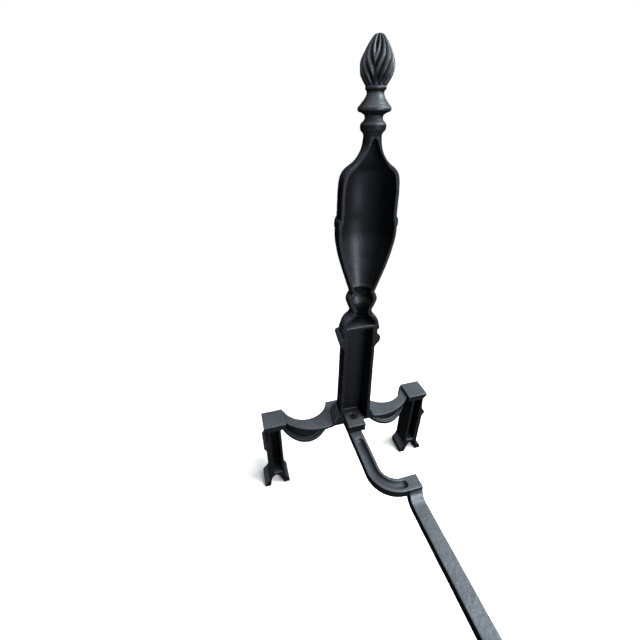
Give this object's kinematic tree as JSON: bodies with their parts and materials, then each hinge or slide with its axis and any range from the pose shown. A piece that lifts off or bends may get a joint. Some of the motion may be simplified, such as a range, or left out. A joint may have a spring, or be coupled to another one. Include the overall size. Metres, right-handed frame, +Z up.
{
  "type": "andiron",
  "caption": "Cast iron andiron with a hollow-backed vase post, fluted flame finial, scooped legs on toed feet and a bolted log bar set to one side; it holds logs off a hearth.",
  "frame": {"origin": "on the floor, under the middle of the whole object's length and width", "axes": "+Z up, -Y towards the decorated front, +Y along the log bar towards the back of the hearth, X from side to side, with the log bar set over towards -X"},
  "size_m": [0.2166, 0.3798, 0.44],
  "materials": {
    "casting": "satin black over a fine sand-cast grain",
    "bar_casting": "satin black, a little greyer and coarser than the front",
    "blackened_steel": "satin black",
    "steel": "plain"
  },
  "bodies": {
    "root": {"flame_finial": "casting", "finial_stud": "steel", "post": "casting", "leg_base": "casting", "log_bar": "bar_casting", "bar_bolt": "blackened_steel", "bolt_washer": "blackened_steel", "bolt_nut": "blackened_steel"}
  },
  "joints": []
}
